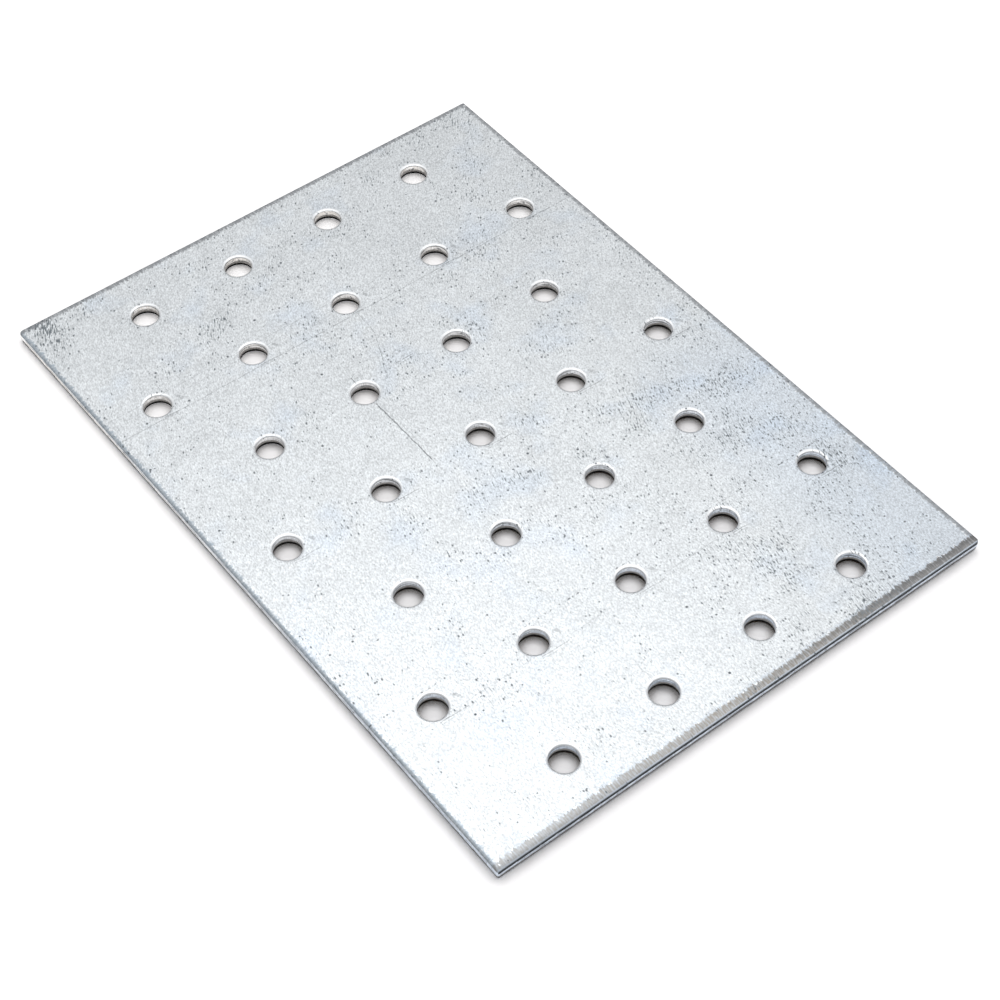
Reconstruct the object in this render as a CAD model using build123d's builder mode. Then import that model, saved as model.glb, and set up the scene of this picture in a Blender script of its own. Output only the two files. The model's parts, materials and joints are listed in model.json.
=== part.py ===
from build123d import *
import os

# Mending plate: one flat piece of hot-dip galvanised sheet steel, sheared to size and
# punched with staggered rows of nail holes. Millimetres.
# It lies flat on its underside. X runs along its length, Y across it and Z out of the
# upper face, which is the face that the shears and the punches entered. The origin is
# the middle of the underside.

# The grid of nail holes. Rows run across the plate. Every second row, from the second
# on, has one hole more than its neighbours, so the rows are staggered by half a pitch.
row_count = 7
wide_row_holes = 5
row_pitch = 20.0
hole_pitch = 20.0
hole_diameter = 5.0

# The blank round that grid. The end shears don't cut midway between two rows, so the
# two end margins differ a little.
thickness = 2.0
side_margin = 10.0
back_margin = 10.7
front_margin = 9.3
corner_radius = 0.45

# Sheared metal rolls over where the tool enters. Below that roll the edge is burnished
# upright, and the last stretch down to the underside breaks off on a slight slope.
end_roll_width = 1.2
end_roll_depth = 0.26
side_roll_width = 0.8
side_roll_depth = 0.2
hole_roll_width = 0.45
hole_roll_depth = 0.14
break_depth = 0.7
break_setback = 0.09

length = back_margin + (row_count - 1) * row_pitch + front_margin
width = (wide_row_holes - 1) * hole_pitch + 2 * side_margin
hole_radius = hole_diameter / 2
first_row_x = back_margin - length / 2


def sheared_section_lines(span, roll_width, roll_depth):
    """Lines round the sheet's cross-section between two sheared edges, standing on its underside."""
    edge = span / 2
    upper_face = Line((0, thickness), (edge - roll_width, thickness))
    roll = TangentArc(upper_face @ 1, (edge, thickness - roll_depth), tangent=(1, 0))
    land = Line(roll @ 1, (edge, break_depth))
    broken = Line(land @ 1, (edge - break_setback, 0))
    Line(broken @ 1, (0, 0))
    mirror(about=Plane.YZ)


# What one punch takes out. Its mouth leans in at the upper face, where the metal rolled
# over, its middle is the burnished bore, and its foot flares out to the underside.
with BuildPart() as punched_hole:
    with BuildSketch(Plane.XZ):
        with BuildLine():
            mouth = Line((0, thickness), (hole_radius + hole_roll_width, thickness))
            lip = Line(mouth @ 1, (hole_radius, thickness - hole_roll_depth))
            bore = Line(lip @ 1, (hole_radius, break_depth))
            flare = Line(bore @ 1, (hole_radius + break_setback, 0))
            foot = Line(flare @ 1, (0, 0))
            Line(foot @ 1, mouth @ 0)
        make_face()
    revolve(axis=Axis.Z)

with BuildPart() as plate:
    # The outline, with the faint rounding that its corners keep from the shears.
    with BuildSketch():
        RectangleRounded(length, width, corner_radius)
    extrude(amount=thickness)
    # The two sections carry the sheared edges: the short ends are in the first, the
    # long sides in the second.
    with BuildSketch(Plane.XZ):
        with BuildLine():
            sheared_section_lines(length, end_roll_width, end_roll_depth)
        make_face()
    extrude(amount=width / 2, both=True, mode=Mode.INTERSECT)
    with BuildSketch(Plane.YZ):
        with BuildLine():
            sheared_section_lines(width, side_roll_width, side_roll_depth)
        make_face()
    extrude(amount=length / 2, both=True, mode=Mode.INTERSECT)
    # The staggered rows of holes.
    for row in range(row_count):
        row_holes = wide_row_holes if row % 2 else wide_row_holes - 1
        with Locations((first_row_x + row * row_pitch, 0)):
            with GridLocations(0, hole_pitch, 1, row_holes):
                add(punched_hole.part, mode=Mode.SUBTRACT)

plate.part.label = "plate"

os.makedirs("parts", exist_ok=True)
export_step(plate.part, "parts/plate.step")

print(f"plate {length:g} x {width:g} x {thickness:g} mm, volume {plate.part.volume:.1f} mm3")
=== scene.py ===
# %% [markdown]
# # A mending plate, sheared and punched from galvanised strip
#
# The real thing is one flat piece of hot-dip galvanised steel, 2 mm thick. A press shears
# it off a coil and punches its nail holes in staggered rows. Nothing is machined or painted
# afterwards, so all that the eye has to go on is what the tools left: rounded shoulders
# where the shear and the punches went in, a bright burnished band below them, a dull torn
# band below that, and the grain, flecks and scratches of the zinc.
#
# The scene starts from the CAD model, which fixes the sizes. The plate is then modelled
# again around the same sizes with the small shapes that a finger would feel.

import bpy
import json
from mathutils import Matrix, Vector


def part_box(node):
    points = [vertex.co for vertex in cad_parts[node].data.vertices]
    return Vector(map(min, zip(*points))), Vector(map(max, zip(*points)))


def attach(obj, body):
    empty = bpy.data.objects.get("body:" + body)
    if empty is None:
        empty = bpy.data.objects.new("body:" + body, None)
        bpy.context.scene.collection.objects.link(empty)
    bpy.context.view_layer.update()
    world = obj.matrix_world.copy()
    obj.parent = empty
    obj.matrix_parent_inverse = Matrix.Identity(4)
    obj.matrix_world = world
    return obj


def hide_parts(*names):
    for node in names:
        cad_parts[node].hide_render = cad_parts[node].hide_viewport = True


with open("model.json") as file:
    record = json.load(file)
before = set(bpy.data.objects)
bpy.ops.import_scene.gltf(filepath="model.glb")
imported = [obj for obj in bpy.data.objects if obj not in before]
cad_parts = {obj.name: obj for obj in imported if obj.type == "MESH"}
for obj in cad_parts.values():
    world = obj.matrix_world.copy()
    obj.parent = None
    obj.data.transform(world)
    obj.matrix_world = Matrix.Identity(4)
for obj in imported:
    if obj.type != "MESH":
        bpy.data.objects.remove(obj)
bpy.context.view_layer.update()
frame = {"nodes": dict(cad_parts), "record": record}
print("CAD nodes:", sorted(frame["nodes"]))

# %% Import what the lesson uses
import functools
import json
import math
import random

import bmesh
import bpy
from mathutils import Quaternion, Vector, noise

MM = 0.001
hair = 0.01 * MM  # how far a place may be off and still count as the same

# %% [markdown]
# ## Sizes from the frame
#
# The outline comes from the CAD node's own box. The nail holes come from the record, which
# lists them as bolt patterns: rectangles of four and lines of two. Several patterns share a
# hole, so a set drops the doubles. Reading them from the frame means that the looks can't
# drift away from the construction.

# %% Read the outline and the holes
low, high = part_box("plate")
half_length = (high.x - low.x) / 2
half_width = (high.y - low.y) / 2
thickness = high.z - low.z
top = high.z


def hole_centres(mounts):
    """Returns the centres of the holes that the bolt patterns name, each one once."""
    centres = set()
    for mount in mounts:
        if mount["kind"] != "bolt_pattern":
            continue
        x, y, _ = mount["pos_m"]
        half_x = mount["dims"].get("spacing_x_mm", 0) * MM / 2
        half_y = mount["dims"].get("spacing_y_mm", 0) * MM / 2
        for side_x in (-1, 1):
            for side_y in (-1, 1):
                centres.add((round(x + side_x * half_x, 5), round(y + side_y * half_y, 5)))
    return sorted(centres)


patterns = frame["record"]["mounts"]
centres = hole_centres(patterns)
hole_radius = patterns[0]["dims"]["hole_r_mm"] * MM
rows = sorted({x for x, y in centres})
print(f"{len(centres)} holes in {len(rows)} rows, {hole_radius * 2 / MM:g} mm across")

# %% [markdown]
# ## Two helpers for edit mode
#
# An operator works on all that is selected, so each step first selects exactly what it
# needs. `select` does that by a test on place, and `follow_section` draws a loop of edges
# from level to level, the way one would press E, then S, by hand.

# %% Select by place
def open_alone(piece):
    """Selects one piece alone and opens it in edit mode."""
    bpy.ops.object.select_all(action="DESELECT")
    piece.select_set(True)
    bpy.context.view_layer.objects.active = piece
    bpy.ops.object.mode_set(mode="EDIT")


def select(kind, wanted):
    """Selects the open mesh's verts, edges or faces that pass the test, and returns their number."""
    bpy.ops.mesh.select_mode(type={"verts": "VERT", "edges": "EDGE", "faces": "FACE"}[kind])
    bpy.ops.mesh.select_all(action="DESELECT")
    mesh = bmesh.from_edit_mesh(bpy.context.object.data)
    chosen = [item for item in getattr(mesh, kind) if wanted(item)]
    for item in chosen:
        item.select_set(True)
    mesh.select_flush_mode()
    bmesh.update_edit_mesh(bpy.context.object.data)
    return len(chosen)


# %% Draw a loop along a section
def follow_section(levels):
    """Extrudes the selected loop through the levels, each given as half sizes along X and Y, and a height."""
    for (x0, y0, z0), (x1, y1, z1) in zip(levels, levels[1:]):
        bpy.ops.mesh.extrude_region_move(TRANSFORM_OT_translate={"value": (0, 0, z1 - z0)})
        bpy.ops.transform.resize(value=(x1 / x0, y1 / y0, 1), center_override=(0, 0, 0))


# %% [markdown]
# ## The section of a sheared edge
#
# When a blade or a punch goes into sheet metal, it first drags the skin down into a wide
# shallow roll. The roll ends in a small tight nose, and below the nose the tool cuts and
# burnishes an upright land. Near the far side the metal stops cutting and tears, and
# the torn band falls back a little.
#
# A bevel can't make a roll that is four times as wide as it is deep. So the section is
# worked out as two arcs that touch: a large one for the roll, and a small one for the
# nose. `Shoulder.inset` says how far inside the edge the metal lies at a given depth.

# %% Work out a rolled shoulder
class Shoulder:
    """A rolled edge: a wide arc from the flat face, then a small nose that ends upright."""

    def __init__(self, width, depth, nose):
        self.width = width
        self.nose = nose
        self.arc = (width**2 + depth**2) / (2 * depth)
        self.end = self.arc - math.sqrt((self.arc - nose) ** 2 - (width - nose) ** 2)
        self.turn = math.asin((width - nose) / (self.arc - nose))
        self.meet = self.end - nose * math.cos(self.turn)

    def inset(self, depth):
        """How far inside the edge the metal lies at this depth below the face."""
        if depth >= self.end:
            return 0.0
        if depth >= self.meet:
            return self.nose - math.sqrt(self.nose**2 - (self.end - depth) ** 2)
        return self.width - math.sqrt(2 * self.arc * depth - depth**2)

    def depths(self, arc_steps, nose_steps):
        """Depths that divide the roll and then the nose into even steps."""
        turns = [self.turn * k / arc_steps for k in range(arc_steps)]
        on_arc = [self.arc * (1 - math.cos(turn)) for turn in turns]
        rest = math.pi / 2 - self.turn
        turns = [self.turn + rest * k / nose_steps for k in range(nose_steps + 1)]
        return on_arc + [self.end - self.nose * math.cos(turn) for turn in turns]


hole_lip = Shoulder(0.45 * MM, 0.12 * MM, 0.07 * MM)
end_roll = Shoulder(1.2 * MM, 0.26 * MM, 0.2 * MM)
side_roll = Shoulder(0.8 * MM, 0.2 * MM, 0.15 * MM)
for name, roll in (("hole lip", hole_lip), ("end roll", end_roll), ("side roll", side_roll)):
    print(f"{name}: {roll.width / MM:g} mm wide, upright from {roll.end / MM:.2f} mm down")

# %% [markdown]
# ## One nail hole
#
# A punched hole is a turned shape, so it could be spun from a chain of points. Here a
# circle is extruded ring by ring instead, because the rings then sit at known depths and
# each can get its own finish. It starts on the flat face a little outside the roll and
# ends on the underside, so that the flat faces stay out of the shading of the rounds.
#
# The hole is only the wall, without the plate round it. The flat faces are closed later,
# for all the holes at once.

# %% Model the wall of one hole
bore_sides = 64
flat_ring = 0.35 * MM
hole_break = 1.02 * MM
break_setback = 0.09 * MM
bore_break_depths = [hole_break + step * MM for step in (0.0, 0.12, 0.32, 0.56, 0.8)]


def torn_setback(depth, start):
    """How far the torn band has fallen back at this depth, from nothing at its start."""
    return break_setback * ((depth - start) / (thickness - start)) ** 0.6


def bore_levels():
    """The levels of a hole's wall, from the flat face down to the underside."""
    radii = [(hole_radius + hole_lip.width + flat_ring, 0.0)]
    radii += [(hole_radius + hole_lip.inset(depth), depth) for depth in hole_lip.depths(5, 3)]
    radii.append((hole_radius, (hole_lip.end + hole_break) / 2))
    radii += [(hole_radius + torn_setback(depth, hole_break), depth) for depth in bore_break_depths]
    radii.append((hole_radius + break_setback, thickness))
    radii.append((hole_radius + break_setback + flat_ring, thickness))
    return [(radius, radius, top - depth) for radius, depth in radii]


levels = bore_levels()
bpy.ops.object.select_all(action="DESELECT")
bpy.ops.mesh.primitive_circle_add(vertices=bore_sides, radius=levels[0][0], location=(0, 0, top))
bore = bpy.context.object
bore.name = "bore"
bpy.ops.object.transform_apply(location=True)
bpy.ops.object.mode_set(mode="EDIT")
follow_section(levels)
bpy.ops.object.mode_set(mode="OBJECT")
print("One bore:", len(bore.data.polygons), "faces in", len(levels) - 1, "rings")

# %% [markdown]
# ## Three finishes on one piece of steel
#
# The zinc skin, the burnished land and the torn band are three surfaces, so each gets a
# material. The slots are filled now, while a face's depth still tells which band it is in,
# and the materials themselves are painted further on.

# %% Give each band of the wall its slot
skin = bpy.data.materials.new("skin_passed_zinc")
land = bpy.data.materials.new("burnished_land")
torn = bpy.data.materials.new("torn_steel")
finishes = [skin, land, torn]


def sort_bands(piece, land_from, torn_from):
    """Gives upright faces the land's slot or the torn slot, by their depth below the face."""
    for finish in finishes:
        piece.data.materials.append(finish)
    counts = [0, 0, 0]
    for face in piece.data.polygons:
        depth = top - face.center.z
        upright = land_from < depth < thickness - hair
        face.material_index = (2 if depth > torn_from else 1) if upright else 0
        counts[face.material_index] += 1
    return counts


print("Skin, land and torn faces of a bore:", sort_bands(bore, hole_lip.end, hole_break))

# %% [markdown]
# ## The tear
#
# A tear never runs level. Its upper line wanders up and down, and its face is grainy. Both
# are real shapes, so the vertices move: a smooth noise function gives each vertex its
# shift, and the same place always gets the same shift.

# %% Roughen the torn band
wave_size, ripple_size, grit_size = 0.9 * MM, 0.3 * MM, 0.25 * MM


def tear(piece, start, away, wander, grit):
    """Lets the line where the tear starts wander in height, and pushes the torn face back in places."""
    moved = 0
    for vertex in piece.data.vertices:
        depth = top - vertex.co.z
        if depth < start - hair or depth > thickness - hair:
            continue
        along = noise.noise(vertex.co / wave_size) + 0.5 * noise.noise(vertex.co / ripple_size)
        if depth < start + 0.2 * MM:
            vertex.co.z += wander * along
        if depth > start + hair:
            vertex.co += away(vertex.co) * grit * abs(noise.noise(vertex.co / grit_size))
        moved += 1
    return moved


def from_the_axis(point):
    """Points straight away from the Z axis, into the metal round a hole."""
    return Vector((point.x, point.y, 0)).normalized()


moved = tear(bore, hole_break, from_the_axis, wander=0.09 * MM, grit=0.05 * MM)
print("Torn vertices of a bore:", moved)

# %% [markdown]
# ## All the holes
#
# One wall is copied to every centre. Each copy has its own mesh and is turned by its own
# angle, so that no two tears match. The turns come from a seeded generator, which gives
# the same plate on every run.

# %% Copy the wall to every centre
turns = random.Random(31)
bores = []
for x, y in centres:
    copy = bore.copy()
    copy.data = bore.data.copy()
    copy.location = (x, y, 0)
    copy.rotation_euler.z = turns.uniform(0, 2 * math.pi)
    bpy.context.collection.objects.link(copy)
    bores.append(copy)
bpy.data.objects.remove(bore)
print("Bores:", len(bores))

# %% [markdown]
# ## The outline
#
# The blank's edge is drawn the same way as a hole: a loop, extruded from level to level.
# A level is a slice of the plate at one depth, and the slices of a body with rolled ends
# and rolled sides are rectangles, each with its own half sizes. The deeper rolls of the
# ends and the shallower ones of the sides then meet at the corners by themselves.
#
# The loop is a plane whose corners are bevelled one by one, because the shears and the
# handling left each with its own rounding. Its face is then deleted. Its long runs are
# subdivided to about a third of a millimetre, because a tear needs vertices to wander.

# %% Draw the outline's loop
corner_radii = {(-1, -1): 0.8, (-1, 1): 0.3, (1, -1): 0.35, (1, 1): 0.5}
corner_steps = 6
first_cuts = 19
length_cuts, width_cuts = 19, 13
rim_inset = 0.4 * MM
long_run = 1.0 * MM

start_x = half_length - end_roll.width - rim_inset
start_y = half_width - side_roll.width - rim_inset
bpy.ops.object.select_all(action="DESELECT")
bpy.ops.mesh.primitive_plane_add(size=2, location=(0, 0, top))
plate = bpy.context.object
plate.name = "nail_plate"
plate.scale = (start_x, start_y, 1)
bpy.ops.object.transform_apply(location=True, scale=True)
bpy.ops.object.mode_set(mode="EDIT")
for (side_x, side_y), radius in corner_radii.items():
    corner = Vector((side_x * start_x, side_y * start_y, top))
    select("verts", lambda vertex: (vertex.co - corner).length < hair)
    bpy.ops.mesh.bevel(offset=radius * MM, segments=corner_steps, affect="VERTICES")
bpy.ops.mesh.select_all(action="SELECT")
bpy.ops.mesh.delete(type="ONLY_FACE")
for runs_along, cuts in (("x", length_cuts), ("y", width_cuts)):
    for number_cuts in (first_cuts, cuts):
        select(
            "edges",
            lambda edge: abs(getattr(edge.verts[0].co - edge.verts[1].co, runs_along)) > long_run,
        )
        bpy.ops.mesh.subdivide(number_cuts=number_cuts)
bpy.ops.object.mode_set(mode="OBJECT")
print("Outline loop:", len(plate.data.edges), "edges")

# %% Draw the outline down its section
rim_break = 1.34 * MM
seam_depth = 0.05 * MM
seam_inset = 0.035 * MM
rim_break_depths = [rim_break + step * MM for step in (0.0, 0.13, 0.3, 0.48)]


def rim_levels():
    """The levels of the plate's edge, from the flat face down to the underside."""
    insets = [(end_roll.width + rim_inset, side_roll.width + rim_inset, 0.0)]
    for depth in end_roll.depths(7, 6):
        insets.append((end_roll.inset(depth), side_roll.inset(depth), depth))
    nose_end = end_roll.end
    insets.append((seam_inset, 0.0, nose_end + seam_depth))
    insets.append((seam_inset, 0.0, nose_end + 2 * seam_depth))
    insets.append((0.0, 0.0, nose_end + 3 * seam_depth))
    insets.append((0.0, 0.0, (nose_end + rim_break) / 2))
    for depth in rim_break_depths:
        insets.append((torn_setback(depth, rim_break), torn_setback(depth, rim_break), depth))
    insets.append((break_setback, break_setback, thickness))
    insets.append((break_setback + rim_inset, break_setback + rim_inset, thickness))
    return [(half_length - x, half_width - y, top - depth) for x, y, depth in insets]


levels = rim_levels()
open_alone(plate)
bpy.ops.mesh.select_all(action="SELECT")
follow_section(levels)
bpy.ops.object.mode_set(mode="OBJECT")
print("Skin, land and torn faces of the rim:", sort_bands(plate, end_roll.end, rim_break))

# %% [markdown]
# The shears enter a blank harder at one end and on one side than at the other. So the roll
# is shallower along the back end and the far side, and fades to its full depth round the
# two corners between. Only heights move, so the outline stays as it is.

# %% Make the roll shallower along two edges
shallow_share = 0.4
corner_fade = 1.5 * MM


def near_back_or_far(point):
    """Returns 1 along the back end and the far side, 0 along the two others, and between at corners."""
    from_end = half_length - abs(point.x)
    from_side = half_width - abs(point.y)
    at_end = min(max(0.5 + (from_side - from_end) / corner_fade, 0), 1)
    return at_end * (point.x < 0) + (1 - at_end) * (point.y > 0)


for vertex in plate.data.vertices:
    depth = top - vertex.co.z
    if depth < end_roll.end + 0.001 * MM:
        vertex.co.z = top - depth * (1 + (shallow_share - 1) * near_back_or_far(vertex.co))

# %% Tear the rim
def from_the_edge(point):
    """Points from the nearer edge straight into the metal."""
    if half_length - abs(point.x) < half_width - abs(point.y):
        return Vector((-math.copysign(1, point.x), 0, 0))
    return Vector((0, -math.copysign(1, point.y), 0))


moved = tear(plate, rim_break, from_the_edge, wander=0.1 * MM, grit=0.06 * MM)
print("Torn vertices of the rim:", moved)

# %% [markdown]
# ## Close the plate
#
# The rim and the bores are joined. Each flat face is then one loop with 31 round loops
# inside it, which the fill operator closes with triangles in one go. Both flat faces lie
# between flat rings, so the triangles' shapes never show in the shading.

# %% Join the walls and fill the flat faces
bpy.ops.object.select_all(action="DESELECT")
for piece in bores:
    piece.select_set(True)
plate.select_set(True)
bpy.context.view_layer.objects.active = plate
bpy.ops.object.join()

open_alone(plate)
for height in (top, top - thickness):
    open_edges = select(
        "edges",
        lambda edge: edge.is_boundary and abs(edge.verts[0].co.z - height) < 0.001 * MM,
    )
    bpy.ops.mesh.fill(use_beauty=True)
    print(f"Filled inside {open_edges} edges at {height / MM:g} mm")
bpy.ops.mesh.select_all(action="SELECT")
bpy.ops.mesh.remove_doubles(threshold=0.0005 * MM)
bpy.ops.mesh.normals_make_consistent(inside=False)
bpy.ops.object.mode_set(mode="OBJECT")
bpy.ops.object.shade_smooth_by_angle(angle=math.radians(35))

# %% Check that the solid is closed
check = bmesh.new()
check.from_mesh(plate.data)
open_edges = sum(not edge.is_manifold for edge in check.edges)
volume = check.calc_volume()
check.free()
triangles = sum(len(face.vertices) - 2 for face in plate.data.polygons)
print(f"Open edges {open_edges}, volume {volume / MM**3:.0f} mm3, {triangles} triangles")

# %% [markdown]
# ## Painting with nodes
#
# Colours are written as hex values, the way a colour picker shows them, and one function
# turns them into the linear values that the shader wants. Another adds a node with its
# settings and links.

# %% Colours and nodes
def colour(hex_value):
    """Turns an sRGB hex colour into linear red, green, blue and alpha."""
    channels = [int(hex_value[k : k + 2], 16) / 255 for k in (1, 3, 5)]
    linear = [c / 12.92 if c <= 0.04045 else ((c + 0.055) / 1.055) ** 2.4 for c in channels]
    return (*linear, 1.0)


def add_node(tree, kind, inputs, **settings):
    """Adds a node with its settings, and gives each input a value or the output that feeds it."""
    made = tree.nodes.new(kind)
    for name, value in settings.items():
        setattr(made, name, value)
    for socket, value in inputs.items():
        if isinstance(value, bpy.types.Node):
            value = value.outputs[0]
        if isinstance(value, bpy.types.NodeSocket):
            tree.links.new(value, made.inputs[socket])
        else:
            made.inputs[socket].default_value = value
    return made


def fresh_tree(material):
    """Empties a material's node tree and returns a short way to add nodes to it."""
    material.use_nodes = True
    material.node_tree.nodes.clear()
    return functools.partial(add_node, material.node_tree)


# %% Measure a surface in millimetres
def in_millimetres(add):
    """Returns the place on the piece in millimetres, and a node that holds its X, Y and Z."""
    place = add("ShaderNodeTexCoord", {})
    place = add("ShaderNodeVectorMath", {0: place.outputs["Object"], "Scale": 1 / MM}, operation="SCALE")
    return place, add("ShaderNodeSeparateXYZ", {0: place})


# %% [markdown]
# ## The zinc skin
#
# The sheet is hot-dip galvanised, and then skin-passed: a light rolling flattens the zinc
# crystals, so none of the leafy spangle is left. What the eye gets is a silvery grey metal
# with a satin sheen, a touch of blue, and a fine grain that is drawn out along the way the
# sheet ran through the rolls, here a little aslant to the plate.
#
# Real grain is finer than a pixel. It is drawn 0.24 mm wide here, which is as fine as the
# picture can show. Three noises share the work: wide clouds, a mottling, and the grain.
# Each one only makes the metal a little lighter or darker, so they are added up as a tone.
# The last and finest, the grain, also gives the bump further on.
# The strip wandered a little in the rolls, so the grain turns slowly across the plate: the
# coordinates are rotated by an angle that grows from one corner to the other.

# %% Zinc: clouds, mottling and grain
add = fresh_tree(skin)
place, axes = in_millimetres(add)
steepest_slant = math.radians(30)
flattest_slant = math.radians(8)
corner_place = (half_length + half_width) / MM
slant = add("ShaderNodeMath", {0: axes.outputs["X"], 1: axes.outputs["Y"]}, operation="SUBTRACT")
slant = add(
    "ShaderNodeMapRange",
    {
        "Value": slant,
        "From Min": -corner_place,
        "From Max": corner_place,
        "To Min": steepest_slant,
        "To Max": flattest_slant,
    },
)
grainwise = add("ShaderNodeVectorRotate", {"Vector": place, "Angle": slant}, rotation_type="Z_AXIS")
drawn_out = add("ShaderNodeMapping", {"Vector": grainwise, "Scale": (0.6, 1, 1)})
ripples = (
    # where, size in mm, detail, swing
    (place, 18.0, 2.0, 0.14),
    (place, 3.5, 3.0, 0.16),
    (drawn_out, 0.24, 1.0, 1.05),
)
tone = 1.0
for vector, size, detail, swing in ripples:
    grain = add("ShaderNodeTexNoise", {"Vector": vector, "Scale": 1 / size, "Detail": detail})
    ripple = add("ShaderNodeMath", {0: grain, 1: 0.5}, operation="SUBTRACT")
    tone = add("ShaderNodeMath", {0: ripple, 1: swing, 2: tone}, operation="MULTIPLY_ADD")

# %% [markdown]
# ## Flecks and pits
#
# Skin-passing leaves short dark flecks where the roll didn't reach the bottom of a crystal.
# They lie with the grain, in loose crowds. A noise stretched along the grain makes them: only
# its highest peaks show, and a second, wide noise lifts it where the flecks crowd.
#
# Pits are the marks of dross and bubbles in the bath: dark, and each by itself. A Voronoi
# pattern has one point in each cell, and a random value with it, which decides whether that
# cell has a pit and how wide it is. The widest are round and far apart. The smallest are
# drawn out along the grain by the rolls, and they crowd where the flecks do.
#
# They get fewer towards the near corner, as the slant of the grain does. Some crowds are
# plain to see, small ones at two of the corners and a wide one on the far side of the front
# half, so they are placed. Each is a stroke: a middle, a half size and a turn. The distance
# to the stroke gives a mask with soft edges.

# %% A stroke as a mask
any_depth = 9


def stroke(add, vector, middle, half_size, turn=0, strength=1.0, soft=0.1):
    """Returns a mask: the strength on one straight stroke, at any depth, falling to 0 all round it."""
    local = add(
        "ShaderNodeMapping",
        {"Vector": vector, "Location": (*middle, 0), "Rotation": (0, 0, math.radians(turn))},
        vector_type="TEXTURE",
    )
    beyond = add("ShaderNodeVectorMath", {0: local}, operation="ABSOLUTE")
    beyond = add("ShaderNodeVectorMath", {0: beyond, 1: (*half_size, any_depth)}, operation="SUBTRACT")
    beyond = add("ShaderNodeVectorMath", {0: beyond, 1: (0, 0, 0)}, operation="MAXIMUM")
    away = add("ShaderNodeVectorMath", {0: beyond}, operation="LENGTH")
    return add(
        "ShaderNodeMapRange",
        {"Value": away.outputs["Value"], "From Max": soft, "To Min": strength, "To Max": 0.0},
    )


# %% Zinc: flecks
crowd_size = 8
crowding_by_slant = 0.45
placed_crowding = 0.15
crowd = add("ShaderNodeTexNoise", {"Vector": place, "Scale": 1 / crowd_size, "Detail": 2.0})
crowd = add("ShaderNodeMath", {0: crowd, 1: 0.5}, operation="SUBTRACT")
steeper = add("ShaderNodeMath", {0: slant, 1: (steepest_slant + flattest_slant) / 2}, operation="SUBTRACT")
crowd = add("ShaderNodeMath", {0: steeper, 1: crowding_by_slant, 2: crowd}, operation="MULTIPLY_ADD")
crowded = (
    # middle, half size, turn, softness
    ((-63.5, -45.8), (5.0, 1.5), 10, 3.0),
    ((-66.5, -40.0), (1.0, 6.0), 0, 3.0),
    ((62.5, -45.5), (1.5, 2.0), 60, 3.0),
    ((-48.0, -27.0), (1.0, 8.0), 15, 3.0),
    ((42.0, 26.0), (26.0, 14.0), 0, 16.0),
)
for middle, half_size, turn, softness in crowded:
    here = stroke(add, place, middle, half_size, turn, placed_crowding, softness)
    crowd = add("ShaderNodeMath", {0: here, 1: crowd}, operation="ADD")
fleck_size = (1.1, 0.25, 1.0)
crowd_lift = 0.45
least_peak = 0.69
streak = add("ShaderNodeMapping", {"Vector": grainwise, "Scale": [1 / size for size in fleck_size]})
streak = add("ShaderNodeTexNoise", {"Vector": streak, "Scale": 1.0, "Detail": 1.0})
peak = add("ShaderNodeMath", {0: crowd, 1: crowd_lift, 2: streak}, operation="MULTIPLY_ADD")
flecks = add("ShaderNodeMapRange", {"Value": peak, "From Min": least_peak, "From Max": least_peak + 0.1})

# %% Zinc: pits
pit_kinds = (
    # where, spacing, largest radius, least luck, how much they crowd
    (place, 4.6, 0.22, 0.68, 0.0),
    (place, 2.1, 0.14, 0.64, 0.7),
    (drawn_out, 1.0, 0.12, 0.62, 1.1),
)
pits = 0.0
for vector, spacing, largest, least_luck, crowding in pit_kinds:
    cells = add("ShaderNodeTexVoronoi", {"Vector": vector, "Scale": 1 / spacing}, voronoi_dimensions="2D")
    luck = add("ShaderNodeSeparateColor", {0: cells.outputs["Color"]})
    luck = add("ShaderNodeMath", {0: crowd, 1: crowding, 2: luck}, operation="MULTIPLY_ADD")
    radius = add(
        "ShaderNodeMapRange",
        {"Value": luck, "From Min": least_luck, "To Min": -0.1, "To Max": largest},
    )
    inside = add("ShaderNodeMath", {0: cells, 1: -spacing, 2: radius}, operation="MULTIPLY_ADD")
    pit = add("ShaderNodeMapRange", {"Value": inside, "From Min": -0.08, "From Max": 0.06})
    pits = add("ShaderNodeMath", {0: pits, 1: pit}, operation="MAXIMUM")

# %% [markdown]
# ## Scratches and press marks
#
# A plate like this slides over others in the press and in its crate, and the strip feeds
# through guides. Some marks are plain to see, so they are placed one by one: a long scratch
# along the middle, a few short ones, some deep pits. Each is a stroke again.
#
# A ruled line looks drawn on, so the strokes read a place that is a little shaken by noise,
# and a fine noise breaks them up.

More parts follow.
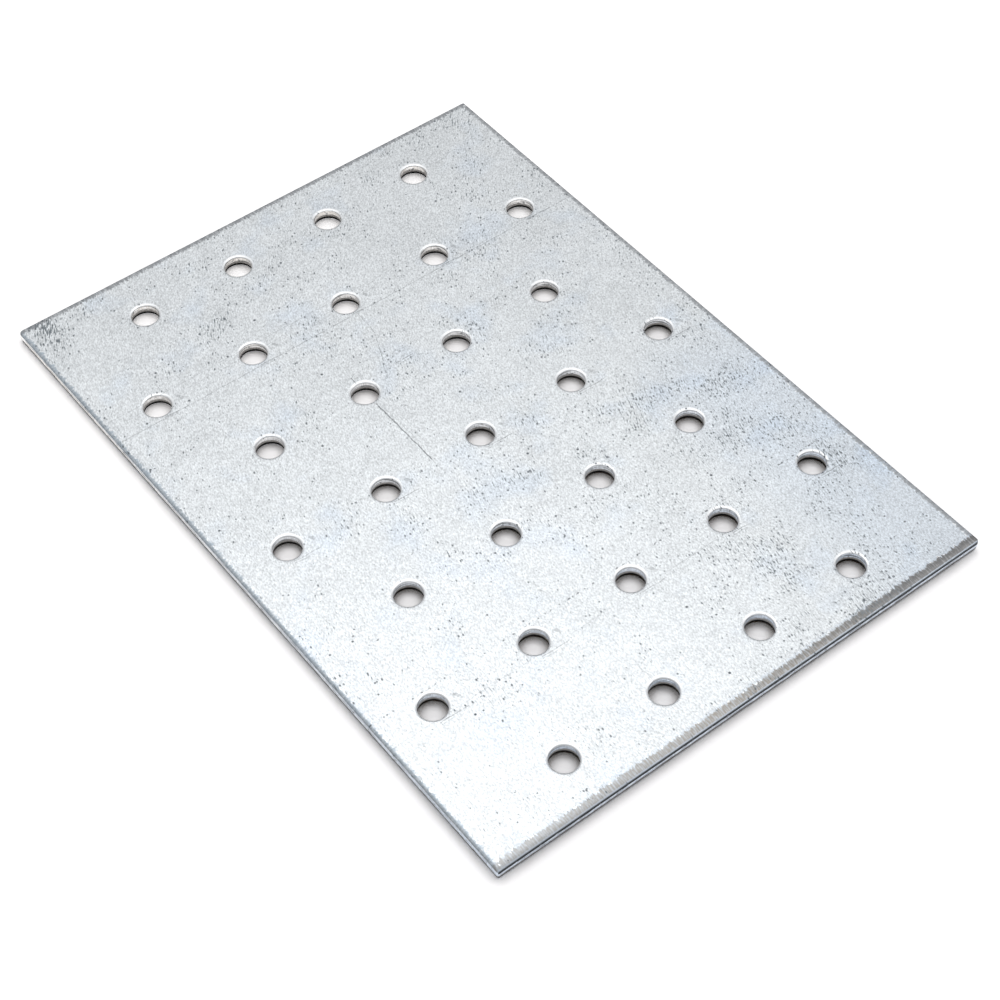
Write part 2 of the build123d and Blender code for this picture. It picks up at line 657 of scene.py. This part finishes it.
# %% Zinc: the marks that are placed one by one
shake = add("ShaderNodeTexNoise", {"Vector": place, "Scale": 0.5, "Detail": 2.0})
shake = add("ShaderNodeVectorMath", {0: shake.outputs["Color"], 1: (0.5, 0.5, 0.5)}, operation="SUBTRACT")
most_shake = (0.5, 0.5, 0.0)
shaken = add("ShaderNodeVectorMath", {0: shake, 1: most_shake, 2: place}, operation="MULTIPLY_ADD")
scratches = (
    # middle, half size, turn, strength
    ((-7.9, -9.9), (8.1, 0.06), 0, 0.75),
    ((-9.5, -9.3), (5.0, 0.0), 1, 0.35),
    ((12.0, -9.9), (12.0, 0.0), 0, 0.25),
    ((53.5, -9.9), (5.5, 0.0), 0, 0.3),
    ((-22.9, -9.9), (0.8, 0.03), 0, 0.7),
    ((-21.7, 0.3), (1.8, 0.02), 90, 0.7),
    ((-21.2, 0.7), (1.2, 0.01), 90, 0.5),
    ((-24.0, 4.4), (4.0, 0.0), 90, 0.3),
    ((-33.5, 0.1), (3.5, 0.02), -4, 0.45),
    ((-26.8, -1.6), (3.2, 0.02), -24, 0.45),
    ((-21.6, -4.0), (2.2, 0.02), -18, 0.4),
    ((21.3, 26.4), (1.6, 0.0), -60, 0.4),
    ((68.0, 1.3), (1.6, 0.0), 35, 0.4),
    # single pits
    ((-13.5, 11.5), (0.1, 0.05), 0, 0.9),
    ((51.9, 49.0), (0.12, 0.05), 0, 1.0),
    ((-51.4, -27.4), (0.2, 0.1), 20, 0.7),
    ((-17.0, -39.0), (0.18, 0.1), 60, 0.8),
    ((22.0, -41.9), (0.12, 0.12), 0, 0.7),
    ((4.6, -27.4), (0.12, 0.1), 0, 0.8),
    ((61.6, 42.6), (0.35, 0.12), 60, 0.45),
)

# %% [markdown]
# The press leaves its own marks at every second row, where five punches go in at once. Its
# guides draw lines right across the sheet on both sides of the row, and the stripper plate,
# which holds the sheet down, drags a pair of thin lines past each hole. The holes repeat, so
# one pair of strokes is enough: wrapping the coordinates folds the whole sheet onto a
# single hole, with the holes of the neighbouring rows at the corners of the fold.
#
# The same fold gives the distance to the nearest hole, of either kind of row. A painted
# highlight lies on the rolled lip there, a shade brighter than the skin round it. It is a
# ring that sits a little off the hole's middle: wide on the far side of the lip, which
# faces the light, and gone on the near side.

# %% Zinc: the press marks
wide_rows = rows[1::2]
row_step = (wide_rows[1] - wide_rows[0]) / 2 / MM
hole_step = (centres[1][1] - centres[0][1]) / 2 / MM
folded = add("ShaderNodeVectorMath", {0: place, 1: (wide_rows[0] / MM, 0, 0)}, operation="SUBTRACT")
folded = add(
    "ShaderNodeVectorMath",
    {0: folded, 1: (row_step, hole_step, any_depth), 2: (-row_step, -hole_step, -any_depth)},
    operation="WRAP",
)
folded_shaken = add("ShaderNodeVectorMath", {0: shake, 1: most_shake, 2: folded}, operation="MULTIPLY_ADD")
press_marks = [
    # where, middle, half size, turn, strength
    (folded_shaken, (3.15, 1.9), (2.6, 0.0), 88, 0.7),
    (folded_shaken, (3.55, 0.6), (1.4, 0.0), 86, 0.4),
    (folded_shaken, (0.6, 4.3), (0.7, 0.25), 30, 0.3),
    (shaken, (-41.2, 0.0), (60.0, 0.0), 90, 0.35),
    (shaken, (-39.6, -30.0), (16.0, 0.0), 90, 0.25),
    (shaken, (-36.0, 0.0), (60.0, 0.02), 90, 0.45),
    (shaken, (43.1, 0.0), (60.0, 0.0), 90, 0.3),
]
all_marks = [(shaken, *scratch) for scratch in scratches] + press_marks
marks = 0.0
for vector, middle, half_size, turn, strength in all_marks:
    mark = stroke(add, vector, middle, half_size, turn, strength)
    marks = add("ShaderNodeMath", {0: marks, 1: mark}, operation="MAXIMUM")

# A guide pin that skips leaves a dotted line.
dots = add("ShaderNodeTexNoise", {"Vector": place, "Scale": 1.6, "Detail": 0.0})
dots = add("ShaderNodeMapRange", {"Value": dots, "From Min": 0.6, "From Max": 0.66, "To Max": 0.8})
dotted = stroke(add, place, (37.5, 0.0), (60.0, 0.08), 90)
dotted = add("ShaderNodeMath", {0: dotted, 1: dots}, operation="MULTIPLY")

breaks = add("ShaderNodeTexNoise", {"Vector": place, "Scale": 1.4, "Detail": 2.0})
breaks = add("ShaderNodeMapRange", {"Value": breaks, "From Min": 0.36, "From Max": 0.52, "To Min": 0.3})
marks = add("ShaderNodeMath", {0: marks, 1: breaks}, operation="MULTIPLY")
marks = add("ShaderNodeMath", {0: marks, 1: dotted}, operation="MAXIMUM")

# %% Zinc: the painted highlight on the lips
to_corner = add("ShaderNodeVectorMath", {0: folded}, operation="ABSOLUTE")
to_corner = add("ShaderNodeVectorMath", {0: to_corner, 1: (row_step, hole_step, 0)}, operation="SUBTRACT")
highlight_shift = (-0.3, 0.22, 0)
signs = add("ShaderNodeVectorMath", {0: folded}, operation="SIGN")
mirrored_highlight_shift = add("ShaderNodeVectorMath", {0: signs, 1: highlight_shift}, operation="MULTIPLY")
from_axes = []
for vector, shift_here in ((folded, highlight_shift), (to_corner, mirrored_highlight_shift)):
    flat = add("ShaderNodeVectorMath", {0: vector, 1: shift_here}, operation="SUBTRACT")
    flat = add("ShaderNodeVectorMath", {0: flat, 1: (1, 1, 0)}, operation="MULTIPLY")
    flat = add("ShaderNodeVectorMath", {0: flat}, operation="LENGTH")
    from_axes.append(flat.outputs["Value"])
from_hole = add("ShaderNodeMath", {0: from_axes[0], 1: from_axes[1]}, operation="MINIMUM")
highlight_edge = (hole_radius + hole_lip.width) / MM - 0.2
# A painted highlight: a bright ring on the far side of each lip.
lip_highlight = add(
    "ShaderNodeMapRange",
    {
        "Value": from_hole,
        "From Min": highlight_edge - 0.1,
        "From Max": highlight_edge + 0.1,
        "To Min": 0.9,
        "To Max": 0.0,
    },
)

# The pattern of holes goes on past the long edges in the fold, but not in the plate.
from_middle = add("ShaderNodeMath", {0: axes.outputs["Y"]}, operation="ABSOLUTE")
last_lip = (half_width - hole_radius) / MM - 2
on_plate = add("ShaderNodeMath", {0: from_middle, 1: last_lip}, operation="LESS_THAN")
lip_highlight = add("ShaderNodeMath", {0: lip_highlight, 1: on_plate}, operation="MULTIPLY")

# %% [markdown]
# ## Smeared and shaded edges
#
# Where the shears pull the skin over the edge, the zinc stretches and smears, and its sheen
# turns a flat grey. The same bands also darken the rolled edges as painted shade, so each
# is partly smear and partly painted shade. The smear is widest at the front end, where the
# roll is deepest, and heavier there towards the far side. Its inner edge is ragged like a
# comb, because the zinc tears along the way it was pulled, and the same pull leaves it
# streaky. So one noise, stretched across the edge, frays the smear and streaks it. A thin
# blue veil lies past the teeth of the front comb. The front nose itself stays bright,
# because the blade rubs it as it passes, with a painted shadow line right under it. Here
# and there a tooth gets a painted glint.

# %% Zinc: the smears and painted shade along the edges
heavier = add(
    "ShaderNodeMapRange",
    {
        "Value": axes.outputs["Y"],
        "From Min": -half_width / MM,
        "From Max": half_width / MM,
        "To Min": 0.55,
        "To Max": 1.0,
    },
)
# Each band is partly zinc smear and partly painted shade of the rolled edge.
edge_smears_and_shade = (
    # axis, the edge's side, half size, bright nose, reach, fray, strength
    ("X", 1, half_length, 0.36, 1.6, 0.9, heavier),
    ("X", -1, half_length, 0.0, 1.0, 1.0, 0.9),
    ("Y", 1, half_width, 0.0, 0.85, 0.6, 0.9),
    ("Y", -1, half_width, 0.0, 0.7, 0.8, 0.75),
)
bright = add("ShaderNodeTexNoise", {"Vector": place, "Scale": 1.1, "Detail": 1.0})
bright = add("ShaderNodeMapRange", {"Value": bright, "From Min": 0.58, "From Max": 0.63})
smears_and_shade, painted_glints = [], 0.0
for axis, side, half_size, nose, reach, fray, strength in edge_smears_and_shade:
    waves_per_mm = (0.5, 3.4, 0) if axis == "X" else (2.2, 0.6, 0)
    comb = add("ShaderNodeMapping", {"Vector": place, "Location": (0, 0, reach), "Scale": waves_per_mm})
    comb = add("ShaderNodeTexNoise", {"Vector": comb, "Scale": 1.0, "Detail": 3.0})
    comb = add("ShaderNodeSeparateColor", {0: comb.outputs["Color"]})
    fall = add("ShaderNodeMath", {0: comb.outputs["Red"], 1: 0.5}, operation="SUBTRACT")
    inward = add(
        "ShaderNodeMath",
        {0: axes.outputs[axis], 1: -side, 2: half_size / MM},
        operation="MULTIPLY_ADD",
    )
    ragged = add("ShaderNodeMath", {0: fall, 1: 2 * fray, 2: inward}, operation="MULTIPLY_ADD")
    smear_and_shade = add(
        "ShaderNodeMapRange",
        {
            "Value": ragged,
            "From Min": reach - 0.12,
            "From Max": reach + 0.12,
            "To Min": strength,
            "To Max": 0.0,
        },
    )
    streaks = add(
        "ShaderNodeMapRange",
        {"Value": comb.outputs["Green"], "From Min": 0.4, "From Max": 0.55, "To Min": 0.5},
    )
    smear_and_shade = add("ShaderNodeMath", {0: smear_and_shade, 1: streaks}, operation="MULTIPLY")
    past_nose = add(
        "ShaderNodeMapRange",
        {"Value": inward, "From Min": nose - 0.12, "From Max": nose + 0.04},
    )
    smears_and_shade.append(add("ShaderNodeMath", {0: smear_and_shade, 1: past_nose}, operation="MULTIPLY"))
    if nose:
        # A painted shadow line right under the front nose.
        painted_nose_shadow = add(
            "ShaderNodeMapRange",
            {"Value": inward, "From Min": 0.05, "From Max": 0.13, "To Min": 1.0, "To Max": 0.0},
        )
        veil = add(
            "ShaderNodeMapRange",
            {
                "Value": ragged,
                "From Min": reach - 0.1,
                "From Max": reach + 0.6,
                "To Min": 0.7,
                "To Max": 0.0,
            },
        )
    # Painted glints: near-white spots along the inner edge of the comb.
    lip = add("ShaderNodeMath", {0: ragged, 1: reach + 0.1, 2: 0.12}, operation="COMPARE")
    lip = add("ShaderNodeMath", {0: lip, 1: bright}, operation="MULTIPLY")
    painted_glints = add("ShaderNodeMath", {0: painted_glints, 1: lip}, operation="MAXIMUM")

# %% [markdown]
# ## The skin put together
#
# The zinc's own colour comes first: a grey that is bluer in patches and along the far side
# of the front half, where the coat is thinner, made lighter and darker by the tone. Other
# colours are laid over it like coats, each through its own mask. The front smear is warm,
# and its far half is greyer. The marks are on the upper face alone, so one more mask keeps
# them off the underside. Roughness and bump follow the same masks: a mark is rougher than
# the rolled skin, and a pit is lower.

# %% Zinc: colour, roughness and bump
upper = add("ShaderNodeMath", {0: axes.outputs["Z"], 1: thickness / MM / 2}, operation="GREATER_THAN")
marks = add("ShaderNodeMath", {0: marks, 1: upper}, operation="MULTIPLY")
lip_highlight = add("ShaderNodeMath", {0: lip_highlight, 1: upper}, operation="MULTIPLY")
patches = add("ShaderNodeTexNoise", {"Vector": place, "Scale": 1 / 9, "Detail": 2.0})
patches = add("ShaderNodeMapRange", {"Value": patches, "From Min": 0.53, "From Max": 0.72, "To Max": 0.35})
bluer = stroke(add, place, (45.0, 48.0), (30.0, 10.0), strength=0.32, soft=14.0)
patches = add("ShaderNodeMath", {0: bluer, 1: patches}, operation="ADD")
zinc = add(
    "ShaderNodeMix",
    {"Factor": patches, 6: colour("#DCE0E3"), 7: colour("#C9D6E6")},
    data_type="RGBA",
)
zinc = add(
    "ShaderNodeMix",
    {"Factor": 1.0, 6: zinc.outputs[2], 7: tone},
    data_type="RGBA",
    blend_type="MULTIPLY",
)
greyer = add("ShaderNodeMapRange", {"Value": axes.outputs["Y"], "From Min": -5.0, "From Max": 30.0})
greyer = add("ShaderNodeMath", {0: greyer, 1: smears_and_shade[0]}, operation="MULTIPLY")
# Of these coats, the lip ring is a painted highlight, the spots on the comb's teeth are painted glints, the
# line under the nose is a painted shadow, and the four edge bands are partly smear and partly painted shade.
coats = (
    (lip_highlight, "#F6F8FA"),
    (smears_and_shade[3], "#9FADB9"),
    (smears_and_shade[1], "#979A9E"),
    (smears_and_shade[2], "#A2A5A9"),
    (veil, "#C3CEDB"),
    (smears_and_shade[0], "#8A7E6C"),
    (greyer, "#797A7C"),
    (painted_nose_shadow, "#4A4D51"),
    (painted_glints, "#F2F5F7"),
    (flecks, "#858C91"),
    (pits, "#6B7176"),
    (marks, "#565A5E"),
)
for mask, hex_value in coats:
    zinc = add("ShaderNodeMix", {"Factor": mask, 6: zinc.outputs[2], 7: colour(hex_value)}, data_type="RGBA")
worn = add("ShaderNodeMath", {0: flecks, 1: pits}, operation="MAXIMUM")
worn = add("ShaderNodeMath", {0: worn, 1: marks}, operation="MAXIMUM")
rough = add("ShaderNodeMapRange", {"Value": worn, "To Min": 0.33, "To Max": 0.5})
relief = add("ShaderNodeMath", {0: pits, 1: -1.0, 2: grain}, operation="MULTIPLY_ADD")
bump = add("ShaderNodeBump", {"Height": relief, "Distance": 0.01 * MM})
surface = add(
    "ShaderNodeBsdfPrincipled",
    {"Base Color": zinc.outputs[2], "Metallic": 1.0, "Roughness": rough, "Normal": bump},
)
add("ShaderNodeOutputMaterial", {"Surface": surface})

# %% [markdown]
# ## The burnished land
#
# Below the nose, the tool's flank rubs the fresh steel until it shines. The rubbing runs
# straight down, so its scores are upright streaks. They are noise drawn out along Z until it
# is many times taller than wide, and the wider ones also give the bump. The steel there has
# no zinc, or only what was dragged down, so it is a plain grey with brighter and darker
# runs. It is painted warmer and lighter at the back and cooler and darker at the front, a
# painted reflection of the room. The tool also stutters on its way down, which leaves a few
# thin dark lines round the wall, level with the face. A painted shade line lies right under
# the lip, sharp in some holes and faint in others. At the two ends, where the shears bit
# hardest, a seam lies between the nose and the land, and painted shade darkens it.

# %% Burnished land
add = fresh_tree(land)
place, axes = in_millimetres(add)
tone = 1.0
for size, swing in (((0.22, 0.22, 1.6), 0.9), ((1.4, 1.4, 4.0), 0.7)):
    scores = add("ShaderNodeMapping", {"Vector": place, "Scale": size}, vector_type="TEXTURE")
    scores = add("ShaderNodeTexNoise", {"Vector": scores, "Scale": 1.0, "Detail": 2.0})
    ripple = add("ShaderNodeMath", {0: scores, 1: 0.5}, operation="SUBTRACT")
    tone = add("ShaderNodeMath", {0: ripple, 1: swing, 2: tone}, operation="MULTIPLY_ADD")
drag = add("ShaderNodeTexNoise", {"Vector": place, "Scale": 1.3, "Detail": 3.0})
drag = add("ShaderNodeMapRange", {"Value": drag, "From Min": 0.6, "From Max": 0.68, "To Max": 0.8})
# A painted reflection: the land is cooler and darker towards the front.
reflected_tint = add(
    "ShaderNodeMapRange",
    {"Value": axes.outputs["X"], "From Min": rows[0] / MM, "From Max": rows[-1] / MM},
)
steel = add(
    "ShaderNodeMix",
    {"Factor": reflected_tint, 6: colour("#FCF9F4"), 7: colour("#DCE6F2")},
    data_type="RGBA",
)
steel = add(
    "ShaderNodeMix",
    {"Factor": 1.0, 6: steel.outputs[2], 7: tone},
    data_type="RGBA",
    blend_type="MULTIPLY",
)
level = add("ShaderNodeMapping", {"Vector": place, "Scale": (5.0, 5.0, 0.19)}, vector_type="TEXTURE")
level = add("ShaderNodeTexNoise", {"Vector": level, "Scale": 1.0, "Detail": 1.0})
level = add("ShaderNodeMapRange", {"Value": level, "From Min": 0.56, "From Max": 0.62, "To Max": 0.8})
face_height = thickness / MM
# A painted shade line right under the lip.
shade_under_lip = add(
    "ShaderNodeMapRange",
    {"Value": axes.outputs["Z"], "From Min": face_height - 0.27, "From Max": face_height - 0.16},
)
sharpness = add("ShaderNodeTexNoise", {"Vector": place, "Scale": 1 / 22, "Detail": 1.0})
sharpness = add(
    "ShaderNodeMapRange",
    {"Value": sharpness, "From Min": 0.4, "From Max": 0.6, "To Min": 0.2, "To Max": 0.9},
)
shade_under_lip = add("ShaderNodeMath", {0: shade_under_lip, 1: sharpness}, operation="MULTIPLY")
at_end = add("ShaderNodeMath", {0: axes.outputs["X"]}, operation="ABSOLUTE")
at_end = add("ShaderNodeMath", {0: at_end, 1: half_length / MM - 0.1}, operation="GREATER_THAN")
# Painted shade in the undercut seam between the nose and the land, at the two ends.
seam_shade_foot = (thickness - end_roll.end) / MM - 0.3
seam_shade = add("ShaderNodeMath", {0: drag, 1: -0.3, 2: axes.outputs["Z"]}, operation="MULTIPLY_ADD")
seam_shade = add("ShaderNodeMapRange", {"Value": seam_shade, "From Min": seam_shade_foot - 0.06, "From Max": seam_shade_foot})
seam_shade = add("ShaderNodeMath", {0: seam_shade, 1: at_end}, operation="MULTIPLY")
coats = ((drag, "#6F7276"), (level, "#4C4F53"), (shade_under_lip, "#34373B"), (seam_shade, "#1B1D1F"))
for mask, hex_value in coats:
    steel = add(
        "ShaderNodeMix",
        {"Factor": mask, 6: steel.outputs[2], 7: colour(hex_value)},
        data_type="RGBA",
    )
bump = add("ShaderNodeBump", {"Height": scores, "Distance": 0.02 * MM})
surface = add(
    "ShaderNodeBsdfPrincipled",
    {"Base Color": steel.outputs[2], "Metallic": 1.0, "Roughness": 0.32, "Normal": bump},
)
add("ShaderNodeOutputMaterial", {"Surface": surface})

# %% [markdown]
# ## The torn band
#
# Torn steel is all tiny broken crystals. It scatters the light and traps it, so it looks
# duller than the land. It is darkened with painted shade: evenly on the rim, and in the
# holes more with depth, so that the band is nearly black at its foot, where it meets the
# paper. Its big hollows are in the mesh, and the crystals are a fine noise, drawn at
# 0.15 mm because the real ones are too small to show.

# %% Torn steel
add = fresh_tree(torn)
place, axes = in_millimetres(add)
crystals = add("ShaderNodeTexNoise", {"Vector": place, "Scale": 1 / 0.15, "Detail": 2.0})
tone = add("ShaderNodeMapRange", {"Value": crystals, "From Min": 0.35, "From Max": 0.65})
steel = add("ShaderNodeMix", {"Factor": tone, 6: colour("#96938F"), 7: colour("#CDCBC9")}, data_type="RGBA")
from_middle = add("ShaderNodeVectorMath", {0: place}, operation="ABSOLUTE")
from_rim = add(
    "ShaderNodeVectorMath",
    {0: (half_length / MM, half_width / MM, 0), 1: from_middle},
    operation="SUBTRACT",
)
from_rim = add("ShaderNodeSeparateXYZ", {0: from_rim})
from_rim = add("ShaderNodeMath", {0: from_rim.outputs["X"], 1: from_rim.outputs["Y"]}, operation="MINIMUM")
in_hole = add("ShaderNodeMath", {0: from_rim, 1: 1.0}, operation="GREATER_THAN")
# Painted shade: evenly on the rim, and darker with depth in the holes.
painted_foot_shade = add(
    "ShaderNodeMapRange",
    {"Value": axes.outputs["Z"], "From Min": 0.34, "From Max": 0.6, "To Min": 1.0, "To Max": 0.0},
)
painted_foot_shade = add("ShaderNodeMapRange", {"Value": in_hole, "To Min": 0.6, "To Max": painted_foot_shade})
steel = add("ShaderNodeMix", {"Factor": painted_foot_shade, 6: steel.outputs[2], 7: colour("#121212")}, data_type="RGBA")
bump = add("ShaderNodeBump", {"Height": crystals, "Distance": 0.05 * MM})
surface = add(
    "ShaderNodeBsdfPrincipled",
    {"Base Color": steel.outputs[2], "Metallic": 1.0, "Roughness": 0.62, "Normal": bump},
)
add("ShaderNodeOutputMaterial", {"Surface": surface})

# %% Say what the piece stands for
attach(plate, "root")
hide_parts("plate")

# %% [markdown]
# ## The floor
#
# The plate lies on white paper. The paper should come out pure white and still hold the
# plate's soft shadow. More light would wash out the metal, so only rays from the camera,
# and those that the metal reflects, see the paper lighter than it is. A punched plate is
# never quite flat: it touches the paper at the back and stands a little off it at the
# front. The plate has to stay level in the shared frame, so here it is the paper that
# slopes, by less than a fifth of a degree.
#
# The shadow right at the foot of the metal is painted deeper than soft light alone makes it.
# Ambient occlusion finds the places that the metal shuts in, and a warm dark painted shadow
# is mixed in there: most in the holes near the front, and little outside the plate. The
# metal mirrors the paper almost without the painted shadow, which keeps the burnished walls
# as bright as they are.

# %% Lay the paper
back_gap = 0.04 * MM
front_gap = 0.38 * MM
paper_true = (0.8, 0.8, 0.8, 1.0)
paper_seen = (1.78, 1.76, 1.77, 1.0)
# The painted shadow: its colour, reach, falloff, and strength at the back, front and outside.
shadow_seen = (0.08, 0.045, 0.02, 1.0)
shadow_reach = 3 * MM
shadow_falloff = 2.5
shadow_back, shadow_front, shadow_outside = 0.15, 2.2, 0.25
shadow_mirrored = 0.1

bpy.ops.object.select_all(action="DESELECT")
slope = math.atan2(front_gap - back_gap, 2 * half_length)
middle_gap = (back_gap + front_gap) / 2
bpy.ops.mesh.primitive_plane_add(size=6, location=(0, 0, -middle_gap), rotation=(0, slope, 0))
floor = bpy.context.object
floor.name = "floor"
bpy.ops.object.transform_apply(location=True, rotation=True)
paper = bpy.data.materials.new("white_paper")
add = fresh_tree(paper)
path = add("ShaderNodeLightPath", {})
from_camera = path.outputs["Is Camera Ray"]
seen = add("ShaderNodeMath", {0: from_camera, 1: path.outputs["Is Glossy Ray"]}, operation="MAXIMUM")
# Painted shadow: ambient occlusion sets where the warm dark colour is mixed into the paper.
closed_in = add("ShaderNodeAmbientOcclusion", {"Distance": shadow_reach}, samples=4)
place, axes = in_millimetres(add)
shadow_amount = add(
    "ShaderNodeMapRange",
    {
        "Value": axes.outputs["X"],
        "From Min": -55.0,
        "From Max": 10.0,
        "To Min": shadow_back,
        "To Max": shadow_front,
    },
)
for axis, half in (("X", half_length / MM), ("Y", half_width / MM)):
    from_middle = add("ShaderNodeMath", {0: axes.outputs[axis]}, operation="ABSOLUTE")
    inside = add(
        "ShaderNodeMapRange",
        {
            "Value": from_middle,
            "From Min": half - 5,
            "From Max": half - 3,
            "To Min": 1.0,
            "To Max": shadow_outside,
        },
    )
    shadow_amount = add("ShaderNodeMath", {0: shadow_amount, 1: inside}, operation="MULTIPLY")
painted_shadow = add("ShaderNodeMath", {0: 1.0, 1: closed_in.outputs["AO"]}, operation="SUBTRACT")
painted_shadow = add("ShaderNodeMath", {0: painted_shadow, 1: shadow_falloff}, operation="POWER")
painted_shadow = add("ShaderNodeMath", {0: painted_shadow, 1: shadow_amount}, operation="MULTIPLY")
share = add("ShaderNodeMapRange", {"Value": from_camera, "To Min": shadow_mirrored})
painted_shadow = add("ShaderNodeMath", {0: painted_shadow, 1: share}, operation="MULTIPLY")
looks = add("ShaderNodeMix", {"Factor": painted_shadow, 6: paper_seen, 7: shadow_seen}, data_type="RGBA")
tone = add("ShaderNodeMix", {"Factor": seen, 6: paper_true, 7: looks.outputs[2]}, data_type="RGBA")
sheet = add("ShaderNodeBsdfDiffuse", {"Color": tone.outputs[2]})
add("ShaderNodeOutputMaterial", {"Surface": sheet})
floor.data.materials.append(paper)

# %% [markdown]
# ## The light
#
# A metal shows what surrounds it, so it needs a pale room more than it needs lamps. The
# world is that room: a plain white tent, brightest where it is lit, behind the plate and
# above it, and dimmer towards the floor. The camera itself sees it as flat white. A soft
# lamp hangs there too, a metre away. Its blurred reflection brightens the near corner of the
# face and the rounded lips of the holes. A weak one on the right draws a thin bright line
# along the nose of the front end.

# %% Light the room
def direction(azimuth, elevation):
    """Returns the unit vector that points this many degrees round from +X, and up from the floor."""
    turn, rise = math.radians(azimuth), math.radians(elevation)
    return Vector((math.cos(turn) * math.cos(rise), math.sin(turn) * math.cos(rise), math.sin(rise)))


tent_least = 0.4
tent_extra = 0.5
tent_brightest = direction(150, 53)
tent_focus = 3.0
horizon_share = 0.65
horizon_rise = 0.6
world = bpy.data.worlds.new("studio")
bpy.context.scene.world = world
world.use_nodes = True
world.node_tree.nodes.clear()
add = functools.partial(add_node, world.node_tree)
path = add("ShaderNodeLightPath", {})
sky = add("ShaderNodeTexCoord", {})
lit = add("ShaderNodeVectorMath", {0: sky.outputs["Generated"], 1: tent_brightest}, operation="DOT_PRODUCT")
lit = add("ShaderNodeMath", {0: lit.outputs["Value"], 1: 0.0}, operation="MAXIMUM")
lit = add("ShaderNodeMath", {0: lit, 1: tent_focus}, operation="POWER")
tent = add("ShaderNodeMath", {0: lit, 1: tent_extra, 2: tent_least}, operation="MULTIPLY_ADD")
rise = add("ShaderNodeSeparateXYZ", {0: sky.outputs["Generated"]})
dimmed = add(
    "ShaderNodeMapRange",
    {"Value": rise.outputs["Z"], "From Max": horizon_rise, "To Min": horizon_share},
)
tent = add("ShaderNodeMath", {0: tent, 1: dimmed}, operation="MULTIPLY")
strength = add("ShaderNodeMapRange", {"Value": path.outputs["Is Camera Ray"], "To Min": tent})
air = add("ShaderNodeBackground", {"Color": (1.0, 1.0, 1.0, 1.0), "Strength": strength})
add("ShaderNodeOutputWorld", {"Surface": air})

# %% Hang the lamps
lamps = (
    # name, azimuth, elevation, side in metres, watts
    ("key", 150, 68, 0.5, 0.81),
    ("fill", 75, 60, 0.35, 0.5),
)
for name, azimuth, elevation, side, watts in lamps:
    light = bpy.data.lights.new(name, "AREA")
    light.shape = "SQUARE"
    light.size = side
    light.energy = watts
    lamp = bpy.data.objects.new(name, light)
    lamp.location = direction(azimuth, elevation)
    lamp.rotation_euler = (-lamp.location).to_track_quat("-Z", "Y").to_euler()
    bpy.context.collection.objects.link(lamp)

# %% [markdown]
# ## The camera
#
# The picture is taken from above the near corner with a long lens. The grid of holes is
# exact, so it is also the ruler: the place, the aim, the roll and the lens are those at
# which all 31 holes fall on their places in the picture.

# %% Set up the camera
camera_place = Vector((199.95, -146.08, 284.20)) * MM
camera_target = Vector((14.36, -6.36, 2.0)) * MM
camera_roll = math.radians(-1.116)
camera = bpy.data.objects.new("camera", bpy.data.cameras.new("camera"))
camera.data.sensor_width = 36
camera.data.lens = 78.8
camera.data.clip_start = 0.01
camera.location = camera_place
aim = (camera_target - camera_place).to_track_quat("-Z", "Y")
camera.rotation_mode = "QUATERNION"
camera.rotation_quaternion = aim @ Quaternion((0, 0, 1), camera_roll)
bpy.context.collection.objects.link(camera)
bpy.context.scene.camera = camera

bpy.context.scene.view_settings.view_transform = "Standard"
